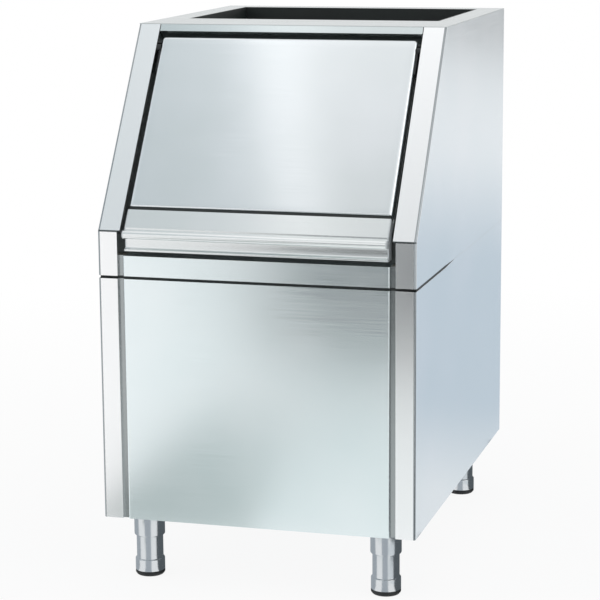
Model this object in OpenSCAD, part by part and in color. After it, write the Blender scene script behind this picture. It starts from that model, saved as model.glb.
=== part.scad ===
// Free-standing ice storage bin with a sloped lift-up door, an open top for an ice maker and four legs.
// X runs to the right, Y to the back and Z up. The origin is the middle of the footprint, on the floor.

/* [Body] */
// Width over the side panels
body_w = 560; // [520:10:800]
// Depth from the front panel to the rear edge of the side panels
body_d = 770; // [700:10:900]
// Height of the body without its legs
body_h = 848; // [800:1:920]
// Height at which the front starts to slope back, above the underside
break_h = 510; // [490:1:550]
// How far the seam between the lower cabinet and the upper hood lies below that
seam_drop = 80; // [70:1:130]
// How far back the top of the slope lies from the front
slope_run = 233; // [200:1:260]
// Thickness of the stainless sheet
sheet_t = 1.2; // [0.8:0.1:1.6]
// Outer radius of the bends along the front corners
bend_r = 4; // [3:0.5:6]
// Thickness of the base pan
base_t = 1.5; // [1:0.1:3]

/* [Front posts and grooves] */
// Width of the front posts below the slope
post_w = 35; // [30:1:38]
// Width of the front posts along the slope
slope_post_w = 40; // [38:1:50]
// Width of the groove between a post and the front panel
groove_w = 10; // [6:1:14]
// Depth of that groove
groove_d = 6; // [5:0.5:9]
// Outer radius of the bends along the front panel
face_r = 3; // [2:0.5:4]
// How far the front panel laps behind the post
front_lap = 12; // [6:1:20]

/* [Seam] */
// Height of the seam's gap at the front
seam_gap = 5; // [2:0.1:6]
// Height of the seam's gap along the rear of the sides
seam_rear_gap = 0.4; // [0.2:0.1:1]
// Distance from the front at which the gap starts to close
seam_taper_start = 230; // [150:5:280]
// Length over which the gap closes
seam_taper_len = 80; // [40:5:120]
// Height of the dark strip behind the seam
seam_strip_h = 14; // [8:1:20]
// Thickness of the strip
seam_strip_t = 0.8; // [0.5:0.1:1.2]

/* [Back] */
// How far the back panel sits inside the rear edge
back_inset = 2; // [2:0.1:4]
// Width of the flanges that the back panel is screwed to
back_lip = 18; // [14:1:24]
// Shank radius of the sheet screws
screw_r = 2; // [1.5:0.1:2.5]
// Head radius of the sheet screws
screw_head_r = 4.5; // [3.5:0.1:5]
// Head height of the sheet screws
screw_head_h = 1.6; // [1:0.1:1.9]

/* [Door] */
// Height of the fixed bar above the door, along the slope
bar_h = 15; // [12:1:25]
// Gap between that bar and the door
top_gap = 10; // [9:0.5:14]
// Gap between the door and each post
door_gap = 8; // [7:0.5:10]
// Depth of the door's steel tray
door_depth = 20; // [18:1:22]
// Outer radius of the tray's rounded edges
door_r = 7; // [4:0.5:9]
// Outer radius of the tray's lower edge
door_foot_r = 3; // [2:0.5:4]
// Distance along the slope from the break to the tray's lower edge
panel_lo = 49; // [44:1:60]
// Height of the dark strip between the tray and the handle
trim_h = 6.5; // [3:0.5:8]
// How far that strip lies below the surface
trim_d = 3; // [2:0.5:5]
// Distance along the slope from the break to the lower edge of the door's lining
rim_lo = 32; // [30:1:36]
// Thickness of the door's lining
door_liner_t = 2; // [1.5:0.1:3]
// Height of the raised middle of the lining
plug_h = 9; // [5:1:10]
// Clearance round the foam inside the door
core_clear = 0.3; // [0.2:0.1:0.5]
// Width of the door's gasket
gasket_w = 12; // [8:1:14]
// Height of the gasket's wide base
gasket_base_h = 4; // [3:0.5:6]
// Distance from the gasket's outer edge to the sides of the door
gasket_edge = 4; // [3:1:6]
// Distance from the hinge axis down to the gasket
gasket_below = 8; // [6:1:12]
// Clearance between the closed gasket and the frame that it meets
seat_clear = 0.3; // [0.3:0.1:0.5]

/* [Handle] */
// Radius of the rounded nose
nose_r = 7; // [6:0.5:8]
// How far the nose stands out from the posts
nose_out = 11.5; // [9:0.5:14]
// Distance from the break down to the nose's centre
nose_drop = 4.5; // [3:0.5:5]
// Height of the handle below the break
handle_h = 34; // [30:1:38]
// How far the grip's face lies behind the front
recess_d = 6; // [4:0.5:8]
// Height of the lip at the bottom of the handle
lip_h = 3.5; // [3:0.5:5]
// Wall of the hollow handle
handle_t = 2; // [1.5:0.5:3]
// Distance from the front to the handle's rear face
handle_back = 26; // [24:0.5:28]
// Thickness of the handle's end caps
cap_t = 2; // [1:0.5:3]
// Gap between the handle and the apron
grip_gap = 8; // [6:0.5:12]

/* [Hinge] */
// Radius of the hinge pins
pin_r = 3; // [2.5:0.1:3.2]
// Depth of the hinge axis below the slope's surface
pin_depth = 7; // [6.8:0.1:7.5]
// Distance from the door's top edge to the hinge axis
pin_drop = 20; // [19:0.5:21]
// Wall of the hinge bushes
bush_wall = 1.5; // [1:0.1:1.7]
// Radius of the bushes' flanges
bush_flange_r = 6; // [5.2:0.1:6.4]
// Running clearance of pins and threads
run_clear = 0.05; // [0.02:0.01:0.1]
// Radius of the arm's rounded end about the hinge axis
arm_boss_r = 6; // [5:0.1:6.4]
// Depth of the arm's front edge below the slope's surface
arm_front = 5; // [4:0.1:5.5]
// Width of the hinge arms
arm_w = 14; // [12:1:15]
// Length of the hinge arms below the axis
arm_l = 46; // [40:1:70]
// Thickness of the hinge arms
arm_t = 2.5; // [2:0.1:3]
// Gap at each side of a bush's flange
side_play = 0.3; // [0.2:0.1:0.5]
// Thickness of the hinge blocks
block_t = 14; // [10:1:18]
// Radius of the stop pegs
peg_r = 3; // [2.5:0.1:3.5]
// Distance along the opened arm at which the peg stops it
peg_reach = 9; // [8:0.5:10]
// Angle to which the door opens, a little past upright
open_deg = 150; // [140:1:151]

/* [Lining] */
// Depth from the slope's surface to the mouth frame
frame_d = 34; // [33:0.5:37]
// Thickness of the mouth frame
frame_t = 4; // [3:0.5:5]
// Thickness of the insulated side walls
side_wall = 45; // [43:1:60]
// Thickness of the insulated front wall
front_wall = 45; // [43:1:60]
// Thickness of the insulated rear wall
rear_wall = 45; // [40:1:60]
// Height of the bin's floor above the underside
floor_h = 55; // [48:1:80]
// Thickness of the bin's lining
liner_t = 3; // [2:0.5:4]
// Distance from the front to the top opening
open_front = 375; // [340:1:420]
// Depth of the insulated beam below the top
beam_h = 70; // [60:1:80]
// Depth of the dark collar that lines the top opening
collar_h = 66; // [30:1:68]
// Thickness of that collar
collar_t = 3; // [2:0.5:4]
// Distance from the gasket's inner edge to the door mouth
mouth_land = 8; // [6:1:12]
// Radius of the rubber buffers behind the handle
buffer_r = 6; // [4:0.5:8]
// Distance of the buffers from the middle
buffer_x = 150; // [60:5:180]

/* [Drain] */
// Outer radius of the drain pipe
drain_r = 13.2; // [12:0.1:16]
// Bore radius of the drain pipe
drain_bore_r = 10; // [7:0.1:11]
// How much smaller the radius of the pipe's hose end is, below the nut
spigot_step = 1.2; // [0.5:0.1:2.5]
// How far the drain pipe reaches below the underside
drain_out = 40; // [30:1:60]
// Distance from the lining's rear wall to the drain
drain_in = 80; // [50:5:120]
// Radius of the drain's flange
drain_flange_r = 32; // [26:1:40]
// Thickness of the drain's flange
drain_flange_t = 3; // [2:0.5:4]
// Thickness of the strainer plate
strainer_t = 2; // [1:0.5:3]
// Radius of the strainer's holes
strainer_hole_r = 2.5; // [1.5:0.1:2.8]
// Distance between the strainer's holes
strainer_pitch = 6; // [6:0.1:6.5]
// Height of the drain nut
nut_h = 10; // [6:1:14]
// Corner radius of the drain nut
nut_r = 22; // [20:1:26]
// Thickness of the drain washer
washer_t = 3; // [2:0.5:4]

/* [Legs] */
// Height of the legs as set
leg_h = 115; // [110:1:130]
// Distance from a leg's centre to the side of the body
leg_side = 64; // [60:1:90]
// Distance from the front legs' centres to the front
leg_front = 54; // [50:1:90]
// Distance from the rear legs' centres to the rear edge
leg_rear = 74; // [60:1:100]
// Outer radius of the fixed sleeve
sleeve_r = 26.5; // [24:0.5:32]
// Height of the fixed sleeve
sleeve_h = 42; // [40:1:46]
// Thickness of the sleeve's threaded top
sleeve_top = 10; // [8:0.5:11]
// Radius of the sliding leg tube
waist_r = 22; // [18:0.5:23]
// Wall of the sliding leg tube
waist_t = 3; // [2:0.5:4]
// How far the leg tube reaches into the sleeve
waist_in = 16; // [13:0.5:17]
// Radius of the foot
foot_r = 25; // [23.5:0.5:30]
// Height of the foot with its pad
foot_h = 30; // [24:1:32]
// Height of the foot's pad
pad_h = 9; // [7:1:12]
// Radius of the pad's lower edge
pad_edge_r = 6; // [3:0.5:6.5]
// Radius of the threaded spindle
spindle_r = 8; // [6:0.5:10]
// How far the spindle reaches above the underside
spindle_in = 20; // [18:1:22]
// How far a foot can be screwed in
foot_up = 15; // [5:1:15]
// Side of the square leg plates
plate_w = 80; // [60:1:84]
// Thickness of the leg plates
plate_t = 5; // [3:0.5:8]

/* [Hidden] */
$fn = 64;

steel = [0.78, 0.80, 0.81];
galvanised = [0.66, 0.68, 0.69];
chromed = [0.80, 0.82, 0.84];
black = [0.07, 0.08, 0.08];
pale = [0.90, 0.92, 0.92];
foam = [0.93, 0.88, 0.70];
nylon = [0.85, 0.84, 0.78];

// A cut reaches this far past the solid that it passes through.
past = 1;
// Smallest radius that is left of a rounded edge on its inner side.
least_r = 0.5;
// Chamfer of a foot's upper edge.
foot_edge = 2;
// Gap between the sloped faces of the mouth's frame and the lining.
slope_gap = 0.05;

left = -1;
right = 1;
front_y = (nose_out - body_d) / 2;
rise = body_h - break_h;
seam_h = break_h - seam_drop;
tilt = atan2(slope_run, rise);
slope_len = norm([slope_run, rise]);
half_w = body_w / 2;
inner_x = half_w - sheet_t;
deck_z = body_h - sheet_t;
back_y = body_d - back_inset;
lip_y = back_y - 2 * sheet_t;
flange_y = groove_d + sheet_t;
face_half = half_w - post_w - groove_w;
apron_top = break_h - handle_h - grip_gap;
seam_taper_end = seam_taper_start + seam_taper_len;

bar_lo = slope_len - bar_h;
door_half = half_w - slope_post_w - door_gap;
door_top = bar_lo - top_gap;
rim_d = door_depth + door_liner_t;
gasket_h = frame_d - seat_clear - rim_d;
gasket_half = door_half - gasket_edge;
gasket_lo = panel_lo + gasket_edge;
pin_s = door_top - pin_drop;
gasket_hi = pin_s - gasket_below;
mouth_half = gasket_half - gasket_w - mouth_land;
mouth_lo = gasket_lo + gasket_w + mouth_land;
mouth_hi = gasket_hi - gasket_w - mouth_land;
// Gap round the raised middle of the door's lining, inside the mouth.
plug_clear = 6;
handle_top = panel_lo - trim_h;
handle_z = break_h - handle_h;
nose_y = nose_r - nose_out;
nose_z = break_h - nose_drop;

bush_r = pin_r + run_clear + bush_wall;
arm_x = door_half + arm_t;
block_x = half_w - slope_post_w + sheet_t;

// Rivets of the hinge arms.
rivet_pitch = 14;
rivet_head_h = 1.2;
rivet_depth = arm_front + arm_w / 2;

frame_back = frame_d + frame_t;
lining_front = frame_back + slope_gap;
cavity_half = half_w - side_wall;
open_back = body_d - rear_wall;
ceiling_z = deck_z - beam_h;
mouth_plane = frame_back + liner_t;
drain_y = open_back - drain_in;

leg_x = half_w - leg_side;
leg_spots = [[left * leg_x, leg_front], [right * leg_x, leg_front],
    [left * leg_x, body_d - leg_rear], [right * leg_x, body_d - leg_rear]];
spindle_room = spindle_in + foot_up + 2;

// Height of each row of screws along the back flanges.
screw_rows = [0.12 * seam_h, 0.5 * seam_h, 0.9 * seam_h,
    seam_h + 0.1 * (body_h - seam_h), (seam_h + body_h) / 2, body_h - 0.1 * (body_h - seam_h)];

// Point [y, z] at a depth below the slope's surface and a distance up from the break.
function slope_point(depth, up) =
    [depth * cos(tilt) + up * sin(tilt), break_h - depth * sin(tilt) + up * cos(tilt)];
// Place [y] of the plane at a depth below the slope's surface, at a height.
function slope_y(depth, z) = (z - break_h) * tan(tilt) + depth / cos(tilt);
// Height of that plane at a distance from the front.
function slope_z(depth, y) = break_h + (y - depth / cos(tilt)) / tan(tilt);
// Height at which a vertical wall at a depth meets the sloped one at the same depth.
function mitre_z(depth) = break_h - depth * tan(tilt / 2);

// Moves a piece from the body's own frame, front panel and underside at zero, to the part's frame.
module place() {
    translate([0, front_y, leg_h]) children();
}

// Frame of the slope: X across, Y down into the bin, Z up along the slope from the break.
module on_slope() {
    translate([0, 0, break_h]) rotate([-tilt, 0, 0]) children();
}

// Pieces drawn for the left side are mirrored for the right one.
module on_side(side) {
    mirror([side == right ? 1 : 0, 0, 0]) children();
}

// Extrudes a [y, z] outline across the bin, centred.
module across(width) {
    translate([-width / 2, 0, 0]) rotate([90, 0, 90]) linear_extrude(width) children();
}

// Extrudes a [y, z] outline to the right from a place in X.
module from_x(x, width) {
    translate([x, 0, 0]) rotate([90, 0, 90]) linear_extrude(width) children();
}

// A round bar along X, from one place to the other, at a point of the slope's frame.
module hinge_bar(r, x0, x1, depth, up) {
    translate([x0, depth, up]) rotate([0, 90, 0]) cylinder(r = r, h = x1 - x0);
}

// Quarter of a bent sheet, round the corner at the origin.
module bend(r) {
    translate([r, r]) intersection() {
        difference() {
            circle(r);
            circle(r - sheet_t);
        }
        translate([-r, -r]) square(r);
    }
}

// Section of a side panel's front corner: wall, bend, front flange and a return into the bin.
module corner_section(flange, inward, wall) {
    bend(bend_r);
    translate([0, bend_r]) square([sheet_t, wall - bend_r]);
    translate([bend_r, 0]) square([flange - bend_r, sheet_t]);
    translate([flange - sheet_t, 0]) square([sheet_t, inward]);
}

// Section of a front panel: a raised face whose joggled margins lie behind the posts.
module front_section() {
    translate([face_r - face_half, 0]) square([2 * (face_half - face_r), sheet_t]);
    for (m = [0, 1]) mirror([m, 0]) translate([-face_half, 0]) {
        bend(face_r);
        translate([0, face_r]) square([sheet_t, flange_y - face_r]);
        translate([-groove_w - front_lap, groove_d]) square([groove_w + front_lap + sheet_t, sheet_t]);
    }
}

// The gap of the seam, seen from the side, wide in front and closing behind.
module seam_outline() {
    polygon([[-past, seam_h - seam_gap / 2], [seam_taper_start, seam_h - seam_gap / 2],
        [seam_taper_end, seam_h - seam_rear_gap / 2], [body_d + past, seam_h - seam_rear_gap / 2],
        [body_d + past, seam_h + seam_rear_gap / 2], [seam_taper_end, seam_h + seam_rear_gap / 2],
        [seam_taper_start, seam_h + seam_gap / 2], [-past, seam_h + seam_gap / 2]]);
}

// Holes for the screws of the back panel, through whatever lies there.
module back_screw_holes() {
    for (m = [0, 1], z = screw_rows) mirror([m, 0, 0])
        translate([half_w - back_lip / 2, lip_y - past, z]) rotate([-90, 0, 0])
            cylinder(r = screw_r, h = 2 * sheet_t + 2 * past);
}

module lower_side(side) {
    color(steel) place() on_side(side) difference() {
        linear_extrude(seam_h) translate([-half_w, 0]) {
            corner_section(post_w, groove_d, body_d);
            translate([0, lip_y]) square([back_lip, sheet_t]);
        }
        across(body_w + 2 * past) seam_outline();
        back_screw_holes();
    }
}

// Half space below the mitre at the break.
module below_mitre() {
    on_slope() rotate([tilt / 2, 0, 0]) translate([-body_w, -body_d, -body_h])
        cube([2 * body_w, 2 * body_d, body_h]);
}

// Outline of a hood's side, seen from above, drawn in by an inset and open to the right and the back.
module side_block(inset, width, depth) {
    r = bend_r - inset;
    translate([bend_r, inset]) square([width - bend_r, depth - inset]);
    translate([inset, bend_r]) square([r, depth - bend_r]);
    translate([bend_r, bend_r]) circle(r);
}

// What the vertical and the sloped front both leave of a hood's side, drawn in by an inset.
module hood_block(inset, over) {
    reach = body_h + body_d;
    intersection() {
        translate([-half_w, 0, seam_h - over]) linear_extrude(deck_z - seam_h + 2 * over)
            side_block(inset, slope_post_w + over, body_d + over);
        on_slope() translate([-half_w, 0, -reach]) linear_extrude(2 * reach)
            side_block(inset, slope_post_w + 2 * over, reach);
    }
}

module cheek(side) {
    color(steel) place() on_side(side) difference() {
        union() {
            difference() {
                hood_block(0, 0);
                hood_block(sheet_t, past);
                // The post is narrower below the break.
                intersection() {
                    translate([post_w - half_w, -past, seam_h - past]) cube([slope_post_w, bend_r, break_h]);
                    below_mitre();
                }
            }
            from_x(post_w - sheet_t - half_w, sheet_t) polygon([[0, seam_h], [frame_d, seam_h],
                [frame_d, mitre_z(frame_d)], [0, break_h]]);
            from_x(slope_post_w - sheet_t - half_w, sheet_t) polygon([[0, break_h],
                [frame_d, mitre_z(frame_d)], [slope_y(frame_d, deck_z), deck_z], [slope_y(0, deck_z), deck_z]]);
            translate([-half_w, lip_y, seam_h]) cube([back_lip, sheet_t, deck_z - seam_h]);
        }
        // The return of the post is shallow beside the apron.
        translate([post_w - 2 * sheet_t - half_w, groove_d, seam_h - past])
            cube([2 * sheet_t + past, frame_d, apron_top - seam_h + past]);
        across(body_w + 2 * past) seam_outline();
        back_screw_holes();
        on_slope() {
            hinge_bar(bush_r + run_clear, -block_x - past, -door_half, pin_depth, pin_s);
            stop_peg_bar(peg_r + run_clear, -block_x - past, -door_half);
        }
    }
}

module lower_front() {
    top = seam_h - seam_gap / 2;
    color(steel) place() {
        linear_extrude(top) front_section();
        for (z = [0, top - sheet_t])
            translate([sheet_t - face_half, sheet_t, z]) cube([2 * (face_half - sheet_t), groove_d, sheet_t]);
    }
}

module apron() {
    bottom = seam_h + seam_gap / 2;
    color(steel) place() {
        translate([0, 0, bottom]) linear_extrude(apron_top - bottom) front_section();
        translate([sheet_t - face_half, sheet_t, bottom])
            cube([2 * (face_half - sheet_t), groove_d, sheet_t]);
        translate([sheet_t - face_half, sheet_t, apron_top - sheet_t])
            cube([2 * (face_half - sheet_t), frame_back - sheet_t, sheet_t]);
    }
}

module base_pan() {
    color(galvanised) place() difference() {
        translate([-inner_x, flange_y, 0]) cube([2 * inner_x, lip_y - flange_y, base_t]);
        for (p = leg_spots) translate([p[0], p[1], -past])
            cylinder(r = spindle_r + run_clear, h = base_t + 2 * past);
        translate([0, drain_y, -past]) cylinder(r = drain_r + run_clear, h = base_t + 2 * past);
    }
}

module back_panel() {
    color(galvanised) place() difference() {
        translate([side_play - inner_x, back_y - sheet_t, 0])
            cube([2 * (inner_x - side_play), sheet_t, deck_z]);
        back_screw_holes();
    }
}

module back_screws() {
    color(galvanised) place() for (m = [0, 1], z = screw_rows) mirror([m, 0, 0])
        translate([half_w - back_lip / 2, lip_y, z]) rotate([-90, 0, 0]) {
            cylinder(r = screw_r, h = 2 * sheet_t);
            translate([0, 0, 2 * sheet_t]) cylinder(r = screw_head_r, h = screw_head_h);
        }
}

module seam_strip_body() {
    translate([-inner_x, flange_y, seam_h - seam_strip_h / 2]) {
        cube([2 * inner_x, seam_strip_t, seam_strip_h]);
        cube([seam_strip_t, seam_taper_end, seam_strip_h]);
        translate([2 * inner_x - seam_strip_t, 0, 0]) cube([seam_strip_t, seam_taper_end, seam_strip_h]);
    }
}

module seam_strip() {
    color(black) place() seam_strip_body();
}

module top_bar() {
    color(steel) place() across(2 * (half_w - slope_post_w - sheet_t))
        polygon([slope_point(0, bar_lo), slope_point(frame_d, bar_lo), slope_point(frame_d, bar_lo + sheet_t),
            slope_point(sheet_t, bar_lo + sheet_t), [slope_y(sheet_t, deck_z), deck_z],
            [slope_y(0, deck_z), deck_z]]);
}

module top_deck() {
    color(steel) place() difference() {
        across(body_w) polygon([[slope_y(0, deck_z), deck_z], [slope_run, body_h], [body_d, body_h],
            [body_d, deck_z]]);
        translate([-cavity_half, open_front, deck_z - past])
            cube([2 * cavity_half, open_back - open_front, sheet_t + 2 * past]);
    }
}

// The opening behind the door, cut square to the slope.
module mouth_cut() {
    on_slope() translate([-mouth_half, frame_d - past, mouth_lo])
        cube([2 * mouth_half, frame_t + liner_t + 2 * past, mouth_hi - mouth_lo]);
}

module mouth_frame() {
    color(black) place() difference() {
        across(2 * inner_x) polygon([[frame_d, apron_top], [frame_d, mitre_z(frame_d)],
            [slope_y(frame_d, deck_z), deck_z], [slope_y(frame_back, deck_z), deck_z],
            [frame_back, mitre_z(frame_back)], [frame_back, apron_top]]);
        mouth_cut();
    }
}

// Space that the lining takes up, from outside.
module liner_outer(over = 0) {
    across(2 * (cavity_half + liner_t)) polygon([[front_wall - liner_t, floor_h - liner_t],
        [front_wall - liner_t, slope_z(lining_front - over, front_wall - liner_t)],
        [slope_y(lining_front - over, ceiling_z + liner_t), ceiling_z + liner_t],
        [open_front - liner_t, ceiling_z + liner_t], [open_front - liner_t, deck_z + over],
        [open_back + liner_t, deck_z + over], [open_back + liner_t, floor_h - liner_t]]);
}

module liner() {
    color(pale) place() difference() {
        liner_outer();
        across(2 * cavity_half) polygon([[front_wall, floor_h],
            [front_wall, slope_z(mouth_plane, front_wall)],
            [slope_y(mouth_plane, ceiling_z), ceiling_z], [open_front, ceiling_z],
            [open_front, deck_z + past], [open_back, deck_z + past], [open_back, floor_h]]);
        mouth_cut();
        translate([0, drain_y, 0]) cylinder(r = drain_r + run_clear, h = floor_h + past);
    }
}

module insulation() {
    color(foam) place() difference() {
        across(2 * inner_x) polygon([[flange_y, base_t], [flange_y, apron_top - sheet_t],
            [lining_front, apron_top - sheet_t], [lining_front, mitre_z(lining_front)],
            [slope_y(lining_front, deck_z), deck_z], [lip_y, deck_z], [lip_y, base_t]]);
        liner_outer(past);
        seam_strip_body();
        for (p = leg_spots) translate([p[0], p[1], base_t]) {
            translate([-plate_w / 2, -plate_w / 2, -past]) cube([plate_w, plate_w, plate_t + past]);
            cylinder(r = spindle_r + 2, h = spindle_room);
        }
        translate([0, drain_y, 0]) cylinder(r = drain_r + core_clear, h = floor_h);
    }
}

module drop_collar() {
    color(black) place() difference() {
        translate([-cavity_half, open_front, body_h - collar_h])
            cube([2 * cavity_half, open_back - open_front, collar_h]);
        translate([collar_t - cavity_half, open_front + collar_t, body_h - collar_h - past])
            cube([2 * (cavity_half - collar_t), open_back - open_front - 2 * collar_t, collar_h + 2 * past]);
    }
}

module door_buffers() {
    color(black) place() for (x = [-buffer_x, buffer_x])
        translate([x, handle_back + seat_clear, handle_z + handle_h / 3]) rotate([-90, 0, 0])
            cylinder(r = buffer_r, h = frame_d - handle_back - seat_clear);
}

// Bar at the place of a stop peg: it lies against the arm's edge when the door is fully open.
module stop_peg_bar(r, x0, x1) {
    away = pin_depth - arm_front + peg_r + side_play;
    hinge_bar(r, x0, x1, pin_depth - away * cos(open_deg) - peg_reach * sin(open_deg),
        pin_s + away * sin(open_deg) - peg_reach * cos(open_deg));
}

module hinge_block(side) {
    color(galvanised) place() on_side(side) on_slope() difference() {
        translate([-block_x - block_t, sheet_t, pin_s - arm_w])
            cube([block_t, 2 * (pin_depth - sheet_t), arm_w + pin_drop + top_gap]);
        hinge_bar(bush_r + run_clear, -block_x - block_t - past, -block_x + past, pin_depth, pin_s);
        stop_peg_bar(peg_r + run_clear, -block_x - block_t - past, -block_x + past);
    }
}

module hinge_bush(side) {
    color(black) place() on_side(side) on_slope() difference() {
        union() {
            hinge_bar(bush_r, -block_x - block_t, -arm_x - side_play, pin_depth, pin_s);
            hinge_bar(bush_flange_r, -block_x + sheet_t, -arm_x - side_play, pin_depth, pin_s);
        }
        hinge_bar(pin_r + run_clear, -block_x - block_t - past, -arm_x, pin_depth, pin_s);
    }
}

module stop_peg(side) {
    color(galvanised) place() on_side(side) on_slope()
        stop_peg_bar(peg_r, -block_x - block_t, -door_half - side_play);
}

module drain_fitting() {
    color(chromed) place() translate([0, drain_y, 0]) difference() {
        union() {
            translate([0, 0, -drain_out]) cylinder(r = drain_r - spigot_step, h = drain_out);
            translate([0, 0, -washer_t - nut_h]) cylinder(r = drain_r, h = washer_t + nut_h + floor_h);
            translate([0, 0, floor_h]) cylinder(r = drain_flange_r, h = drain_flange_t);
        }
        translate([0, 0, -drain_out - past])
            cylinder(r = drain_bore_r, h = floor_h + drain_out + drain_flange_t + 2 * past);
    }
}

module drain_strainer() {
    color(chromed) place() translate([0, drain_y, floor_h + drain_flange_t]) difference() {
        cylinder(r = drain_flange_r, h = strainer_t);
        for (i = [-1 : 1], j = [-1 : 1]) translate([i * strainer_pitch, j * strainer_pitch, -past])
            cylinder(r = strainer_hole_r, h = strainer_t + 2 * past);
    }
}

module drain_washer() {
    color(black) place() translate([0, drain_y, -washer_t]) difference() {
        cylinder(r = nut_r, h = washer_t);
        translate([0, 0, -past]) cylinder(r = drain_r + run_clear, h = washer_t + 2 * past);
    }
}

module drain_nut() {
    color(nylon) place() translate([0, drain_y, -washer_t - nut_h]) difference() {
        cylinder(r = nut_r, h = nut_h, $fn = 6);
        translate([0, 0, -past]) cylinder(r = drain_r + run_clear, h = nut_h + 2 * past);
    }
}

module at_leg(i) {
    place() translate([leg_spots[i][0], leg_spots[i][1], 0]) children();
}

module leg_plate(i) {
    color(galvanised) at_leg(i) translate([0, 0, base_t]) difference() {
        translate([-plate_w / 2, -plate_w / 2, 0]) cube([plate_w, plate_w, plate_t]);
        translate([0, 0, -past]) cylinder(r = spindle_r + run_clear, h = plate_t + 2 * past);
    }
}

module leg_sleeve(i) {
    color(chromed) at_leg(i) difference() {
        translate([0, 0, -sleeve_h]) cylinder(r = sleeve_r, h = sleeve_h);
        translate([0, 0, -sleeve_h - past])
            cylinder(r = waist_r + run_clear, h = sleeve_h - sleeve_top + past);
        translate([0, 0, -sleeve_h]) cylinder(r = spindle_r + run_clear, h = sleeve_h + past);
    }
}

module leg_foot(i) {
    base = pad_h - leg_h;
    shoulder = foot_h - leg_h;
    top = waist_in - sleeve_h;
    tube_floor = shoulder - 2 * waist_t;
    color(chromed) at_leg(i) rotate_extrude()
        polygon([[0, base], [foot_r, base], [foot_r, shoulder - foot_edge], [foot_r - foot_edge, shoulder],
            [waist_r, shoulder], [waist_r, top], [waist_r - waist_t, top], [waist_r - waist_t, tube_floor],
            [spindle_r, tube_floor], [spindle_r, spindle_in], [0, spindle_in]]);
}

module foot_pad(i) {
    color(black) at_leg(i) translate([0, 0, -leg_h]) rotate_extrude() {
        square([foot_r - pad_edge_r, pad_h]);
        translate([0, pad_edge_r]) square([foot_r, pad_h - pad_edge_r]);
        intersection() {
            translate([foot_r - pad_edge_r, pad_edge_r]) circle(pad_edge_r);
            square([foot_r, pad_h]);
        }
    }
}

// A rectangle from [x0, y0] to [x1, y1] whose lower corners are round.
module round_foot(x0, x1, y0, y1, r0, r1) {
    translate([x0, y0 + r0]) square([r0, y1 - y0 - r0]);
    translate([x1 - r1, y0 + r1]) square([r1, y1 - y0 - r1]);
    translate([x0 + r0, y0]) square([x1 - x0 - r0 - r1, y1 - y0]);
    translate([x0 + r0, y0 + r0]) circle(r0);
    translate([x1 - r1, y0 + r1]) circle(r1);
}

// The door's tray as a solid block, drawn in by an inset on all sides but the back.
module door_block(inset, back) {
    r = door_r - inset;
    foot = max(door_foot_r - inset, least_r);
    intersection() {
        translate([0, 0, panel_lo]) linear_extrude(door_top - panel_lo)
            round_foot(inset - door_half, door_half - inset, inset, back, r, r);
        across(2 * door_half) mirror([1, -1])
            round_foot(panel_lo + inset, door_top - inset, inset, back, foot, r);
    }
}

// Raised middle of the door's lining, drawn in by an inset.
module plug_block(inset, deep) {
    half = mouth_half - plug_clear - inset;
    translate([-half, door_depth - past, mouth_lo + plug_clear + inset])
        cube([2 * half, deep + past, mouth_hi - mouth_lo - 2 * (plug_clear + inset)]);
}

module rivet_holes(r) {
    for (k = [1, 2])
        hinge_bar(r, -arm_x - past, sheet_t + past - door_half, rivet_depth, pin_s - k * rivet_pitch);
}

module door_skin() {
    color(steel) place() on_slope() difference() {
        door_block(0, door_depth);
        door_block(sheet_t, door_depth + past);
        for (m = [0, 1]) mirror([m, 0, 0]) rivet_holes(screw_r);
    }
}

module door_core() {
    inset = sheet_t + core_clear;
    color(foam) place() on_slope() {
        difference() {
            door_block(inset, door_depth);
            for (m = [0, 1]) mirror([m, 0, 0]) rivet_holes(screw_r + core_clear);
        }
        plug_block(door_liner_t + core_clear, rim_d + plug_h - door_depth - door_liner_t - core_clear);
    }
}

module door_liner() {
    color(pale) place() on_slope() difference() {
        union() {
            translate([-door_half, door_depth, rim_lo])
                cube([2 * door_half, door_liner_t, door_top - rim_lo]);
            difference() {
                plug_block(0, door_liner_t + plug_h);
                translate([-door_half, 0, 0]) cube([2 * door_half, door_depth, door_top]);
            }
        }
        plug_block(door_liner_t, plug_h);
    }
}

// Ring of the gasket, between two distances from its outer edge.
module gasket_ring(from, to, base, height) {
    translate([0, base, 0]) difference() {
        translate([from - gasket_half, 0, gasket_lo + from])
            cube([2 * (gasket_half - from), height, gasket_hi - gasket_lo - 2 * from]);
        translate([to - gasket_half, -past, gasket_lo + to])
            cube([2 * (gasket_half - to), height + 2 * past, gasket_hi - gasket_lo - 2 * to]);
    }
}

module door_gasket() {
    color(black) place() on_slope() {
        gasket_ring(0, gasket_w, rim_d, gasket_base_h);
        gasket_ring(gasket_w / 4, gasket_w * 3 / 4, rim_d, gasket_h);
    }
}

module door_trim() {
    color(black) place() on_slope() translate([cap_t - door_half, trim_d, handle_top])
        cube([2 * (door_half - cap_t), door_depth - trim_d, trim_h]);
}

// Section of the handle: a strip along the slope, a rounded nose, a grip recess and a lip.
module handle_outline() {
    polygon([[0, break_h], [nose_y, nose_z - nose_r / 2], [recess_d, nose_z - nose_r],
        [recess_d, handle_z + lip_h + handle_t], [0, handle_z + lip_h], [0, handle_z],
        [handle_back, handle_z], [handle_back, slope_z(door_depth, handle_back)],
        slope_point(door_depth, handle_top), slope_point(0, handle_top)]);
    translate([nose_y, nose_z]) circle(nose_r);
}

module door_handle() {
    t = handle_t;
    face = recess_d + t;
    color(steel) place() across(2 * (door_half - cap_t)) difference() {
        handle_outline();
        polygon([slope_point(t, handle_top - t), slope_point(door_depth - t, handle_top - t),
            [handle_back - t, slope_z(door_depth - t, handle_back - t)], [handle_back - t, handle_z + t],
            [face, handle_z + t], [face, slope_z(t, face)]]);
        translate([nose_y, nose_z]) circle(nose_r - t);
    }
}

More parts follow.
